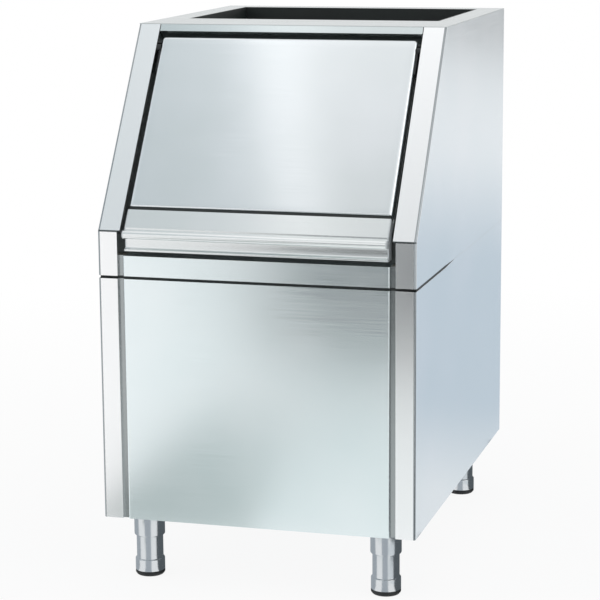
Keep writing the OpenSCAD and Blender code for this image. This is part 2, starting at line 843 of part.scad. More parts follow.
module handle_cap(side) {
    color(steel) place() on_side(side) from_x(-door_half, cap_t) handle_outline();
}

module hinge_arm(side) {
    color(black) place() on_side(side) on_slope() difference() {
        from_x(-arm_x, arm_t) {
            translate([pin_depth, pin_s]) circle(arm_boss_r);
            translate([arm_front, pin_s - arm_l]) square([arm_w, arm_l]);
        }
        hinge_bar(pin_r, -arm_x - past, past - door_half, pin_depth, pin_s);
        rivet_holes(screw_r);
    }
}

module hinge_pin(side) {
    color(chromed) place() on_side(side) on_slope()
        hinge_bar(pin_r, -block_x - block_t, -door_half, pin_depth, pin_s);
}

module arm_rivets() {
    color(black) place() for (m = [0, 1]) mirror([m, 0, 0]) on_slope() for (k = [1, 2]) {
        hinge_bar(screw_r, -arm_x, sheet_t - door_half, rivet_depth, pin_s - k * rivet_pitch);
        hinge_bar(2 * screw_r, -arm_x - rivet_head_h, -arm_x, rivet_depth, pin_s - k * rivet_pitch);
    }
}

lower_side(left);  // lower_side_left
lower_side(right);  // lower_side_right
lower_front();
base_pan();
back_panel();
back_screws();
seam_strip();
cheek(left);  // cheek_left
cheek(right);  // cheek_right
apron();
top_bar();
top_deck();
mouth_frame();
liner();
insulation();
drop_collar();
door_buffers();
hinge_block(left);  // hinge_block_left
hinge_block(right);  // hinge_block_right
hinge_bush(left);  // hinge_bush_left
hinge_bush(right);  // hinge_bush_right
stop_peg(left);  // stop_peg_left
stop_peg(right);  // stop_peg_right
drain_fitting();
drain_strainer();
drain_washer();
drain_nut();
leg_plate(0);  // leg_plate_front_left
leg_plate(1);  // leg_plate_front_right
leg_plate(2);  // leg_plate_rear_left
leg_plate(3);  // leg_plate_rear_right
leg_sleeve(0);  // leg_sleeve_front_left
leg_sleeve(1);  // leg_sleeve_front_right
leg_sleeve(2);  // leg_sleeve_rear_left
leg_sleeve(3);  // leg_sleeve_rear_right
leg_foot(0);  // leg_foot_front_left
leg_foot(1);  // leg_foot_front_right
leg_foot(2);  // leg_foot_rear_left
leg_foot(3);  // leg_foot_rear_right
foot_pad(0);  // foot_pad_front_left
foot_pad(1);  // foot_pad_front_right
foot_pad(2);  // foot_pad_rear_left
foot_pad(3);  // foot_pad_rear_right
door_skin();
door_core();
door_liner();
door_gasket();
door_trim();
door_handle();
handle_cap(left);  // handle_cap_left
handle_cap(right);  // handle_cap_right
hinge_arm(left);  // hinge_arm_left
hinge_arm(right);  // hinge_arm_right
hinge_pin(left);  // hinge_pin_left
hinge_pin(right);  // hinge_pin_right
arm_rivets();
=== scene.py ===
"""Looks of a stainless ice storage bin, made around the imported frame.

Lengths of the bin are in millimetres, counted from its vertical front, its underside and its middle, and
BinLayout turns them into metres in the frame. Lengths of the studio are in metres.
"""

import logging
import math
from dataclasses import dataclass, field
from enum import Enum

import bmesh
import bpy
import numpy as np
from mathutils import Matrix, Vector


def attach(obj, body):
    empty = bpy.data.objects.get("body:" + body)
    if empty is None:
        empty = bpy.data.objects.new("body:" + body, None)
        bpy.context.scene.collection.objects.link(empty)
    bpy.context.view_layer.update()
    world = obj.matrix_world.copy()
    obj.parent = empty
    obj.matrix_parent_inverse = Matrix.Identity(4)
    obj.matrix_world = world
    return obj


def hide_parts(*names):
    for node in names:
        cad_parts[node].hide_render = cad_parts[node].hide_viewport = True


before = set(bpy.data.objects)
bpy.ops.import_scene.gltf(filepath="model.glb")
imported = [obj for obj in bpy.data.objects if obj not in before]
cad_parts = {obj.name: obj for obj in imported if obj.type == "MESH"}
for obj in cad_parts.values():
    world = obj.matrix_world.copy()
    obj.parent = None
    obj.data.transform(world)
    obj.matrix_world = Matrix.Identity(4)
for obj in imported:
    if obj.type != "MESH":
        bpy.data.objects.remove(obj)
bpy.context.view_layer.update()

LOG = logging.getLogger("ice_bin")
MM = 0.001
WHITE = "#ffffff"
# Distance in metres below which two points of a mesh are one.
SAME_POINT = 1e-6
# Points round a turned piece.
ROUND_STEPS = 72
# Most values of a noise texture lie in this span.
NOISE_SPAN = {"From Min": 0.3, "From Max": 0.7}

Pair = tuple[float, float]
Triple = tuple[float, float, float]
Piece = bpy.types.Object
Tree = bpy.types.NodeTree
Node = bpy.types.Node
Socket = bpy.types.NodeSocket


class Body(Enum):
    """Bodies of the frame that new pieces ride on, apart from the feet."""

    CABINET = "cabinet"
    DOOR = "door"


class Corner(Enum):
    """The four legs, by their place under the bin, with the signs of X and Y."""

    FRONT_LEFT = ("front_left", -1, -1)
    FRONT_RIGHT = ("front_right", 1, -1)
    REAR_LEFT = ("rear_left", -1, 1)
    REAR_RIGHT = ("rear_right", 1, 1)

    @property
    def word(self) -> str:
        """Name of the corner, as the frame's nodes end."""
        return self.value[0]

    @property
    def foot(self) -> str:
        """Name of the body that slides in this corner's leg."""
        return f"foot_{self.word}"


class Grain(Enum):
    """Direction in which a sheet was brushed, as how fine its scratches are along X, Y and Z."""

    ACROSS = (1.0, 250.0, 250.0)
    UPRIGHT = (250.0, 250.0, 1.0)
    DEPTH = (250.0, 1.0, 250.0)


def linear(hex_colour: str) -> tuple[float, float, float, float]:
    """Turns an sRGB hex colour to linear light.

    Args:
        hex_colour: Six hex digits after a hash.

    Returns:
        Red, green and blue from 0 to 1 in linear light, and an alpha of 1.
    """
    srgb = np.array([int(hex_colour[i : i + 2], 16) for i in (1, 3, 5)]) / 255
    light = np.where(srgb <= 0.04045, srgb / 12.92, ((srgb + 0.055) / 1.055) ** 2.4)
    return (*light.tolist(), 1.0)


@dataclass(frozen=True)
class BinLayout:
    """Sizes of the bin that several pieces share."""

    width: float = 560.0
    depth: float = 770.0
    front_y: float = -379.25
    leg_height: float = 115.0
    body_height: float = 848.0
    break_height: float = 510.0
    slope_run: float = 233.0

    @property
    def tilt(self) -> float:
        """Angle of the sloped front from upright, in radians."""
        return math.atan2(self.slope_run, self.body_height - self.break_height)

    def upright(self, x: np.ndarray, depth: np.ndarray, height: np.ndarray) -> np.ndarray:
        """Points given from the vertical front and the body's underside, in metres of the frame.

        Args:
            x: Distance to the right of the middle.
            depth: Distance behind the vertical front.
            height: Height above the body's underside.

        Returns:
            Array with a last axis of x, y and z.
        """
        x, depth, height = np.broadcast_arrays(x, depth, height)
        return np.stack([x, depth + self.front_y, height + self.leg_height], axis=-1) * MM

    def sloped(self, x: np.ndarray, depth: np.ndarray, up: np.ndarray) -> np.ndarray:
        """Points given in the plane of the slope: y = d cos t + s sin t and z = break - d sin t + s cos t.

        Args:
            x: Distance to the right of the middle.
            depth: Distance below the slope's surface.
            up: Distance from the break, up the slope.

        Returns:
            Array with a last axis of x, y and z, in metres of the frame.
        """
        c, s = math.cos(self.tilt), math.sin(self.tilt)
        x, depth, up = np.broadcast_arrays(x, depth, up)
        return self.upright(x, depth * c + up * s, self.break_height - depth * s + up * c)


LAYOUT = BinLayout()


def fillet(corners: list[Pair], radii: tuple[float, ...], steps: int = 6) -> np.ndarray:
    """Rounds the inner corners of an open outline with arcs.

    Each corner gives way to the arc that touches both of its edges. Its centre lies on the corner's
    bisector, at the radius over the sine of half the angle. For an arc that turns by an angle a from its
    first spoke to its last, the spoke at a share t is (first sin (1 - t) a + last sin t a) / sin a.

    Args:
        corners: Points of the outline.
        radii: Arc radius at each of them but the first and the last.
        steps: Points along each arc.

    Returns:
        The rounded outline, shape (n, 2).
    """
    points = np.array(corners, float)
    before, at, after = points[:-2], points[1:-1], points[2:]
    a = (before - at) / np.linalg.norm(before - at, axis=1, keepdims=True)
    b = (after - at) / np.linalg.norm(after - at, axis=1, keepdims=True)
    half = np.arccos(np.clip((a * b).sum(1), -1, 1)) / 2
    middle = a + b
    middle /= np.linalg.norm(middle, axis=1, keepdims=True)
    centre = at + middle * (radii / np.sin(half))[:, None]
    first = at + a * (radii / np.tan(half))[:, None] - centre
    last = at + b * (radii / np.tan(half))[:, None] - centre
    turn = (math.pi - 2 * half)[:, None, None]
    t = np.linspace(0, 1, steps)[None, :, None]
    spokes = (np.sin((1 - t) * turn) * first[:, None] + np.sin(t * turn) * last[:, None]) / np.sin(turn)
    arcs = centre[:, None] + spokes
    return np.concatenate([points[:1], arcs.reshape(-1, 2), points[-1:]])


def grid_quads(rows: int, columns: int, wrap_rows: bool = False, wrap_columns: bool = False) -> np.ndarray:
    """Quads that join neighbouring points of a grid, stored row by row.

    Args:
        rows: Number of rows.
        columns: Number of columns.
        wrap_rows: Whether the last row joins the first.
        wrap_columns: Whether the last column joins the first.

    Returns:
        Point numbers, shape (quads, 4).
    """
    r = np.arange(rows if wrap_rows else rows - 1)[:, None]
    c = np.arange(columns if wrap_columns else columns - 1)[None, :]
    r1, c1 = (r + 1) % rows, (c + 1) % columns
    quads = np.stack([r * columns + c, r * columns + c1, r1 * columns + c1, r1 * columns + c], axis=-1)
    return quads.reshape(-1, 4)


def surface(name: str, grid: np.ndarray, wrap_rows: bool = False, wrap_columns: bool = False,
            capped: bool = False, sharp: float = 35.0) -> Piece:
    """Makes an object of a grid of points, with its doubles merged and its faces pointing outwards.

    Args:
        name: Name of the object.
        grid: Points in metres, shape (rows, columns, 3).
        wrap_rows: Whether the last row joins the first.
        wrap_columns: Whether the last column joins the first.
        capped: Whether a face closes the first and the last row.
        sharp: Angle in degrees past which an edge stays sharp.

    Returns:
        The object, in the scene.
    """
    rows, columns = grid.shape[:2]
    faces = grid_quads(rows, columns, wrap_rows, wrap_columns).tolist()
    if capped:
        ring = np.arange(columns)
        faces += [ring[::-1].tolist(), (ring + (rows - 1) * columns).tolist()]
    mesh = bpy.data.meshes.new(name)
    mesh.from_pydata(grid.reshape(-1, 3).tolist(), [], faces)
    work = bmesh.new()
    work.from_mesh(mesh)
    bmesh.ops.remove_doubles(work, verts=work.verts, dist=SAME_POINT)
    bmesh.ops.dissolve_degenerate(work, edges=work.edges, dist=SAME_POINT)
    bmesh.ops.recalc_face_normals(work, faces=work.faces)
    work.to_mesh(mesh)
    work.free()
    mesh.shade_smooth()
    mesh.set_sharp_from_angle(angle=math.radians(sharp))
    made = bpy.data.objects.new(name, mesh)
    bpy.context.scene.collection.objects.link(made)
    return made


def turned(name: str, centre: Pair, profile: np.ndarray) -> Piece:
    """Turns a profile round an upright axis, as on a lathe: x = cx + r cos a, y = cy + r sin a, z as given.

    Args:
        name: Name of the object.
        centre: The axis as x and y in millimetres of the frame.
        profile: Radius and height above the floor in millimetres, shape (n, 2), closed or from axis to axis.

    Returns:
        The object, in the scene.
    """
    angle = np.linspace(0, 2 * math.pi, ROUND_STEPS, endpoint=False)[None, :]
    radius, height = profile[:, :1], profile[:, 1:]
    x, y = centre[0] + radius * np.cos(angle), centre[1] + radius * np.sin(angle)
    grid = np.stack(np.broadcast_arrays(x, y, height), axis=-1) * MM
    return surface(name, grid, wrap_columns=True, sharp=32.0)


def add(tree: Tree, kind: str, settings: dict[str | int, object] | None = None,
        links: dict[str | int, Socket] | None = None) -> Node:
    """Adds a node with its settings and links.

    Args:
        tree: The node tree.
        kind: Name of the node type, without its first part.
        settings: Values by the name of a property or, where there is none, by the name or number of an input.
        links: Output sockets by the name or number of the input socket that they feed.

    Returns:
        The node.
    """
    node = tree.nodes.new("ShaderNode" + kind)
    for key, value in (settings or {}).items():
        if isinstance(key, str) and hasattr(node, key):
            setattr(node, key, value)
        else:
            node.inputs[key].default_value = value
    for key, socket in (links or {}).items():
        tree.links.new(socket, node.inputs[key])
    return node


def new_material(name: str) -> tuple[bpy.types.Material, Tree]:
    """Makes an empty node material.

    Args:
        name: Name of the material.

    Returns:
        The material and its cleared node tree.
    """
    material = bpy.data.materials.new(name)
    material.use_nodes = True
    material.node_tree.nodes.clear()
    return material, material.node_tree


@dataclass(frozen=True)
class Patch:
    """A part of a sheet with another tone: a dark joint, such as that between two posts, or painted shade or
    reflection, such as the painted shade in a groove.

    Its limits are in millimetres: from the middle to either side, behind the vertical front, and above the
    body's underside.
    """

    colour: str
    aside: Pair | None = None
    depth: Pair | None = None
    height: Pair | None = None

    def share(self, tree: Tree, place: Socket) -> Socket:
        """Finds where the patch lies: within a limit, |value - middle| is at most half its length.

        Args:
            tree: The node tree.
            place: The object's coordinates.

        Returns:
            A socket that is 1 on the patch and 0 elsewhere.
        """
        axes = add(tree, "SeparateXYZ", links={0: place})
        aside = add(tree, "Math", {"operation": "ABSOLUTE"}, {0: axes.outputs["X"]})
        limits = ((aside.outputs[0], self.aside, 0.0),
                  (axes.outputs["Y"], self.depth, LAYOUT.front_y),
                  (axes.outputs["Z"], self.height, LAYOUT.leg_height))
        inside = None
        for value, limit, start in limits:
            if limit is None:
                continue
            middle, half = (limit[0] + limit[1]) / 2 + start, (limit[1] - limit[0]) / 2
            near = add(tree, "Math", {"operation": "COMPARE", 1: middle * MM, 2: half * MM}, {0: value})
            if inside is not None:
                near = add(tree, "Math", {"operation": "MULTIPLY"}, {0: inside, 1: near.outputs[0]})
            inside = near.outputs[0]
        return inside


@dataclass(frozen=True)
class Finish:
    """A finish of the bin, drawn on the coordinates of the object that wears it."""

    name: str

    def draw(self, tree: Tree, place: Socket) -> Node:
        """Draws the finish.

        Args:
            tree: The node tree.
            place: The object's coordinates.

        Returns:
            The shader.
        """
        raise NotImplementedError

    def build(self) -> bpy.types.Material:
        """Makes the material.

        Returns:
            The material.
        """
        material, tree = new_material(self.name)
        shader = self.draw(tree, add(tree, "TexCoord").outputs["Object"])
        add(tree, "OutputMaterial", links={"Surface": shader.outputs[0]})
        return material


@dataclass(frozen=True)
class StainlessSheet(Finish):
    """Cold-rolled stainless steel, brushed: fine straight scratches that blur what it mirrors."""

    grain: Grain
    light: str
    dark: str
    roughness: float = 0.2
    scratch_width: float = 0.7
    scratch_depth: float = 0.002
    bump: float = 0.25
    drift: float = 0.01
    rough_drift: float = 0.04
    smudge: float = 0.05
    clouds_per_metre: float = 5.0
    patches: tuple[Patch, ...] = ()

    def draw(self, tree: Tree, place: Socket) -> Node:
        """Draws the finish. Real scratches are 0.05 mm wide, and scratch_width is coarse enough to show.

        Args:
            tree: The node tree.
            place: The object's coordinates.

        Returns:
            The shader.
        """
        scale = tuple(g / (max(self.grain.value) * self.scratch_width * MM) for g in self.grain.value)
        grain_place = add(tree, "Mapping", {"Scale": scale}, {"Vector": place})
        scratches = add(tree, "TexNoise", {"Scale": 1.0, "Detail": 3.0, "Roughness": 0.6},
                        {"Vector": grain_place.outputs[0]}).outputs["Fac"]
        clouds = add(tree, "TexNoise", {"Scale": self.clouds_per_metre, "Detail": 2.0, "Roughness": 0.5},
                     {"Vector": place}).outputs["Fac"]
        tones = add(tree, "ValToRGB", links={"Fac": clouds})
        elements = tones.color_ramp.elements
        for element, position, colour in zip(elements, (0.35, 0.65), (self.dark, self.light)):
            element.position, element.color = position, linear(colour)
        colour = tones.outputs[0]
        # Of a mix of colours, 6 and 7 are the two inputs and 2 is the output.
        # Each patch paints its tone over the sheet: a dark joint, or painted light, shade or reflection.
        for patch in self.patches:
            mix = add(tree, "Mix", {"data_type": "RGBA", 7: linear(patch.colour)},
                      {0: patch.share(tree, place), 6: colour})
            colour = mix.outputs[2]
        value = add(tree, "MapRange", NOISE_SPAN | {"To Min": 1 - self.drift, "To Max": 1 + self.drift},
                    {"Value": scratches})
        tinted = add(tree, "HueSaturation", links={"Color": colour, "Value": value.outputs[0]})
        low, high = self.roughness - self.rough_drift, self.roughness + self.rough_drift
        rough = add(tree, "MapRange", NOISE_SPAN | {"To Min": low, "To Max": high}, {"Value": scratches})
        smudges = add(tree, "Math", {"operation": "MULTIPLY_ADD", 1: self.smudge},
                      {0: clouds, 2: rough.outputs[0]})
        bump = add(tree, "Bump", {"Strength": self.bump, "Distance": self.scratch_depth * MM},
                   {"Height": scratches})
        links = {"Base Color": tinted.outputs[0], "Roughness": smudges.outputs[0], "Normal": bump.outputs[0]}
        return add(tree, "BsdfPrincipled", {"Metallic": 1.0}, links)


@dataclass(frozen=True)
class ChromePlate(Finish):
    """Bright chrome plate on a turned steel tube: nearly a mirror, with a haze of fine rings.

    The rings are cells of the noise per metre along X, Y and Z. The roughness goes from clear to hazy.
    """

    name: str = "bright_chrome_plate"
    colour: str = "#d8dcdf"
    roughness: Pair = (0.15, 0.27)
    rings: Triple = (20.0, 20.0, 900.0)

    def draw(self, tree: Tree, place: Socket) -> Node:
        """Draws the finish.

        Args:
            tree: The node tree.
            place: The object's coordinates.

        Returns:
            The shader.
        """
        rings = add(tree, "Mapping", {"Scale": self.rings}, {"Vector": place})
        haze = add(tree, "TexNoise", {"Scale": 1.0, "Detail": 2.0}, {"Vector": rings.outputs[0]})
        rough = add(tree, "MapRange", {"To Min": self.roughness[0], "To Max": self.roughness[1]},
                    {"Value": haze.outputs["Fac"]})
        return add(tree, "BsdfPrincipled", {"Metallic": 1.0, "Base Color": linear(self.colour)},
                   {"Roughness": rough.outputs[0]})


@dataclass(frozen=True)
class ZincSheet(Finish):
    """Hot-dip galvanised sheet: dull grey zinc with a faint crystal pattern about 12 mm across."""

    name: str = "galvanised_sheet"
    light: str = "#c3c8ca"
    dark: str = "#aab0b3"
    roughness: Pair = (0.38, 0.55)
    crystal: float = 12.0

    def draw(self, tree: Tree, place: Socket) -> Node:
        """Draws the finish. Each crystal has one tone and one roughness.

        Args:
            tree: The node tree.
            place: The object's coordinates.

        Returns:
            The shader.
        """
        cells = add(tree, "TexVoronoi", {"Scale": 1 / (self.crystal * MM)}, {"Vector": place})
        grey = add(tree, "SeparateColor", links={"Color": cells.outputs["Color"]})
        tones = add(tree, "ValToRGB", links={"Fac": grey.outputs[0]})
        for element, colour in zip(tones.color_ramp.elements, (self.dark, self.light)):
            element.color = linear(colour)
        rough = add(tree, "MapRange", {"To Min": self.roughness[0], "To Max": self.roughness[1]},
                    {"Value": grey.outputs[1]})
        return add(tree, "BsdfPrincipled", {"Metallic": 1.0},
                   {"Base Color": tones.outputs[0], "Roughness": rough.outputs[0]})


@dataclass(frozen=True)
class MouldedPart(Finish):
    """A moulded polymer or rubber: even colour, a soft sheen and a fine grain from the mould."""

    colour: str
    shade: str
    roughness: float
    grit: float
    grit_depth: float = 0.02
    bump: float = 0.4
    rough_drift: float = 0.06
    clouds_per_metre: float = 14.0
    ior: float = 1.5

    def draw(self, tree: Tree, place: Socket) -> Node:
        """Draws the finish. The mould's grit is drawn at the size of grit, in millimetres.

        Args:
            tree: The node tree.
            place: The object's coordinates.

        Returns:
            The shader.
        """
        grit = add(tree, "TexNoise", {"Scale": 1 / (self.grit * MM), "Detail": 3.0},
                   {"Vector": place}).outputs["Fac"]
        clouds = add(tree, "TexNoise", {"Scale": self.clouds_per_metre, "Detail": 3.0}, {"Vector": place})
        tones = add(tree, "ValToRGB", links={"Fac": clouds.outputs["Fac"]})
        elements = tones.color_ramp.elements
        for element, position, colour in zip(elements, NOISE_SPAN.values(), (self.shade, self.colour)):
            element.position, element.color = position, linear(colour)
        low, high = self.roughness - self.rough_drift, self.roughness + self.rough_drift
        rough = add(tree, "MapRange", {"To Min": low, "To Max": high}, {"Value": grit})
        bump = add(tree, "Bump", {"Strength": self.bump, "Distance": self.grit_depth * MM}, {"Height": grit})
        links = {"Base Color": tones.outputs[0], "Roughness": rough.outputs[0], "Normal": bump.outputs[0]}
        return add(tree, "BsdfPrincipled", {"IOR": self.ior}, links)


class Palette:
    """All finishes of the bin, each made once."""

    def __init__(self) -> None:
        """Makes the materials."""
        low, high = LAYOUT.break_height - 1.5, LAYOUT.break_height + 1.5
        # Painted light and shade: what faces the front is painted brighter than a side, and a darker
        # reflection is painted where a sheet is folded.
        # Painted shade: the grooves beside the lower front are painted darker.
        painted_groove_shade = Patch("#a6abac", aside=(234.6, 260.0))
        # Painted light: the front-facing posts are painted lighter than the sides.
        painted_post_light = Patch("#fbfcfd", aside=(0.0, 279.0))
        joint = Patch("#5f6567", depth=(-1.0, 3.0), height=(low, high))
        end = Patch("#3c4143", aside=(238.6, 242.0))
        # Painted reflection: a darker line is painted along the outer bend of the posts.
        painted_bend_reflection = Patch("#9fa5a8", aside=(275.9, 279.7), depth=(-1.0, 260.0))
        self.door = StainlessSheet("brushed_stainless_door", Grain.ACROSS, "#e9edf0", "#e3e8ea", 0.17).build()
        self.front = StainlessSheet("brushed_stainless_front", Grain.ACROSS, "#f0f8fa", "#eaf4f6",
                                    patches=(painted_groove_shade,)).build()
        self.handle = StainlessSheet("brushed_stainless_handle", Grain.ACROSS, "#eef0f1", "#e8ecec").build()
        self.side = StainlessSheet("brushed_stainless_side", Grain.DEPTH, "#edf0f3", "#e8edf0",
                                   patches=(painted_post_light, painted_bend_reflection)).build()
        self.hood = StainlessSheet("brushed_stainless_hood", Grain.DEPTH, "#edf0f3", "#e8edf0",
                                   patches=(painted_post_light, painted_bend_reflection, joint)).build()
        self.cap = StainlessSheet("bead_blasted_stainless_cap", Grain.DEPTH, "#d5d9db", "#cdd2d4",
                                  0.75).build()
        # Painted shade: the top deck and the bar are painted darker than the other brushed sheets, for the
        # light that falls on them.
        self.top = StainlessSheet("brushed_stainless_top_painted_shade", Grain.ACROSS, "#c3c9ca", "#bcc2c3", 0.25).build()
        self.bar = StainlessSheet("brushed_stainless_bar_painted_shade", Grain.ACROSS, "#d9e1e2", "#d3dbdc",
                                  patches=(end,)).build()
        self.fitting = StainlessSheet("bright_stainless_fitting", Grain.UPRIGHT, "#d2d6d8", "#c9cfd1",
                                      scratch_width=0.4).build()
        self.chrome = ChromePlate().build()
        self.zinc = ZincSheet().build()
        self.rubber = MouldedPart("black_epdm_rubber", "#2b2e2f", "#232627", 0.72, 0.35).build()
        self.gasket = MouldedPart("grey_pvc_gasket", "#3a3e40", "#313536", 0.55, 0.3).build()
        self.dark = MouldedPart("black_abs", "#1d2524", "#171d1d", 0.5, 0.4).build()
        # Partly painted light: the mouth frame is a lighter charcoal than the other black plastics, so that
        # it shows grey where light reaches it in the gap beside the door.
        self.frame = MouldedPart("charcoal_abs_painted_light", "#5b6160", "#525857", 0.5, 0.4).build()
        # Partly painted shade: the hinge arms, rivets and stop pegs are black-coated steel, chosen so that
        # the door's side gaps stay as dark as shade.
        self.coated = MouldedPart("black_coated_steel_as_gap_shade", "#25292a", "#1e2223", 0.45, 0.25).build()
        self.liner = MouldedPart("white_polyethylene", "#e8ebe9", "#dfe3e1", 0.38, 0.5).build()
        self.black_nylon = MouldedPart("black_nylon", "#23282a", "#1c2123", 0.42, 0.3).build()
        self.nylon = MouldedPart("natural_nylon", "#dedbcf", "#d3cfc2", 0.42, 0.3).build()
        # Partly painted shade: the foam is a darker grey than fresh foam, so that where it shows through the
        # gap under the handle it reads as shade.
        self.foam = MouldedPart("expanded_foam_painted_shade", "#8d8c84", "#82817a", 0.9, 1.2, grit_depth=0.3).build()


def dress(piece: Piece, material: bpy.types.Material) -> None:
    """Gives a piece one material in place of those that it has."""
    piece.data.materials.clear()
    piece.data.materials.append(material)


def place_piece(piece: Piece, body: str, material: bpy.types.Material, node: str) -> None:
    """Dresses a new piece, seats it on its body and lets it stand for a node of the frame.

    Args:
        piece: The new piece.
        body: Name of the body that carries it.
        material: Its material.
        node: Node that it stands for.
    """
    dress(piece, material)
    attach(piece, body)
    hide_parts(node)
    LOG.info("%s rides on %s and has %d points", piece.name, body, len(piece.data.vertices))


@dataclass
class DoorPanel:
    """The door's steel tray: a sheet that is crowned a little and rolled over at its edges.

    Low and high are its ends, up the slope from the break.
    """

    half_width: float = 232.0
    low: float = 49.0
    high: float = 385.53
    depth: float = 20.0
    edge_r: float = 7.0
    foot_r: float = 3.0
    sheet: float = 1.2
    crown: float = 0.9
    arc_share: float = 0.8
    arc_steps: int = 8
    cells: tuple[int, int] = (40, 30)

    def profile(self, flat: int) -> tuple[np.ndarray, np.ndarray]:
        """Grid values along one side: where a point lies on the flat, and how far it is over the edge.

        Args:
            flat: Cells on the flat part.

        Returns:
            Place on the flat from -1 to 1, and place over the edge from -1 through 0 to 1.
        """
        over = np.linspace(0, 1, self.arc_steps + 2)[1:]
        ends = np.ones(len(over))
        return (np.concatenate([-ends, np.linspace(-1, 1, flat + 1), ends]),
                np.concatenate([-over[::-1], np.zeros(flat + 1), over]))

    def build(self, palette: Palette) -> None:
        """Makes the tray.

        Over an edge, a point at a share p runs round a quarter circle up to p = arc_share and then down the
        straight wall. At a corner the larger of the two shares says how far over it is, and their ratio
        gives the direction. The quarter circle's radius goes from edge_r to foot_r towards the lower edge,
        but its reach to either side stays edge_r. The crown is highest in the middle: (1 - x^2)(1 - u^2).

        Args:
            palette: The finishes.
        """
        xs, px = self.profile(self.cells[0])
        us, pu = self.profile(self.cells[1])
        xs, us = np.meshgrid(xs, us, indexing="ij")
        px, pu = np.meshgrid(px, pu, indexing="ij")
        share = np.maximum(np.abs(px), np.abs(pu))
        whole = np.where(share > 0, share, 1.0)
        ratio = np.minimum(np.abs(px), np.abs(pu)) / whole
        angle = np.where(np.abs(px) >= np.abs(pu), ratio * math.pi / 4, math.pi / 2 - ratio * math.pi / 4)
        radius = self.edge_r + (self.foot_r - self.edge_r) * np.clip(-pu, 0, None) / whole
        arc = np.clip(share / self.arc_share, 0, 1) * math.pi / 2
        wall = np.clip((share - self.arc_share) / (1 - self.arc_share), 0, 1)
        depth = radius * (1 - np.cos(arc)) + wall * (self.depth - radius)
        low, high = self.low + self.foot_r, self.high - self.edge_r
        x = xs * (self.half_width - self.edge_r) + np.sign(px) * self.edge_r * np.sin(arc) * np.cos(angle)
        up = low + (us + 1) / 2 * (high - low) + np.sign(pu) * radius * np.sin(arc) * np.sin(angle)
        bow = self.crown * (1 - xs**2) * (1 - us**2)
        tray = surface("door_panel", LAYOUT.sloped(x, depth - bow, up))
        sheet = tray.modifiers.new("sheet", "SOLIDIFY")
        sheet.thickness = self.sheet * MM
        sheet.offset = -1.0
        place_piece(tray, Body.DOOR.value, palette.door, "door_skin")


@dataclass
class DoorHandle:
    """The full-width handle: a strip below the door's tray, a rolled nose, a grip recess and a lip.

    Top is up the slope from the break, low is above the body's underside, and nose_turn is in degrees.
    """

    half_width: float = 230.0
    cap: float = 2.0
    top: float = 42.5
    depth: float = 20.0
    back: float = 26.0
    low: float = 476.0
    lip: float = 3.5
    lip_slope: float = 2.0
    recess: float = 6.0
    recess_drop: float = 0.5
    strip_end: float = 0.7
    nose_r: float = 7.0
    nose_y: float = -4.5
    nose_z: float = 505.5
    nose_turn: Pair = (46.5, 262.0)
    nose_steps: int = 30
    valley: tuple[Pair, ...] = ((7.8, 0.0), (4.8, 2.0), (4.0, 0.0))
    grip_radii: tuple[float, ...] = (2.0, 2.5, 0.8, 1.2)

    def outline(self) -> np.ndarray:
        """Section of the handle as depth and height, from the vertical front and the body's underside.

        A valley, given as distance up the slope and depth, parts the strip from the nose. The nose is an arc
        about its centre, down to its underside. The corners of the grip are rounded as a bent sheet is. The
        back is upright, and ends where it meets the strip's underside.

        Returns:
            Closed outline without its first point again, shape (n, 2).
        """
        c, s, brk = math.cos(LAYOUT.tilt), math.sin(LAYOUT.tilt), LAYOUT.break_height
        corners = [(self.top, self.depth), (self.top, 0.0), *self.valley, (self.strip_end, 0.0)]
        along, below = np.array(corners).T
        strip = np.stack([below * c + along * s, brk - below * s + along * c], axis=1)
        turn = np.radians(np.linspace(*self.nose_turn, self.nose_steps))
        nose = np.array([self.nose_y, self.nose_z]) + self.nose_r * np.stack([np.cos(turn), np.sin(turn)], 1)
        recess_top, lip_top = self.nose_z - self.nose_r - self.recess_drop, self.low + self.lip
        grip = fillet([tuple(nose[-1]), (self.recess, recess_top), (self.recess, lip_top + self.lip_slope),
                       (0.0, lip_top), (0.0, self.low), (self.back, self.low)], self.grip_radii)
        back = [(self.back, brk + (self.back - self.depth / c) / math.tan(LAYOUT.tilt))]
        return np.concatenate([strip, nose, grip[1:], back])

    def build(self, palette: Palette) -> None:
        """Carries the outline from end to end and makes the two end caps.

        Args:
            palette: The finishes.
        """
        outline = self.outline()
        inner, outer = self.half_width, self.half_width + self.cap
        parts = (("door_grip", "door_handle", palette.handle, (-inner, inner)),
                 ("grip_cap_left", "handle_cap_left", palette.cap, (-outer, -inner)),
                 ("grip_cap_right", "handle_cap_right", palette.cap, (inner, outer)))
        for name, node, finish, span in parts:
            grid = LAYOUT.upright(np.array(span)[:, None], outline[None, :, 0], outline[None, :, 1])
            piece = surface(name, grid, wrap_columns=True, capped=True, sharp=30.0)
            place_piece(piece, Body.DOOR.value, finish, node)


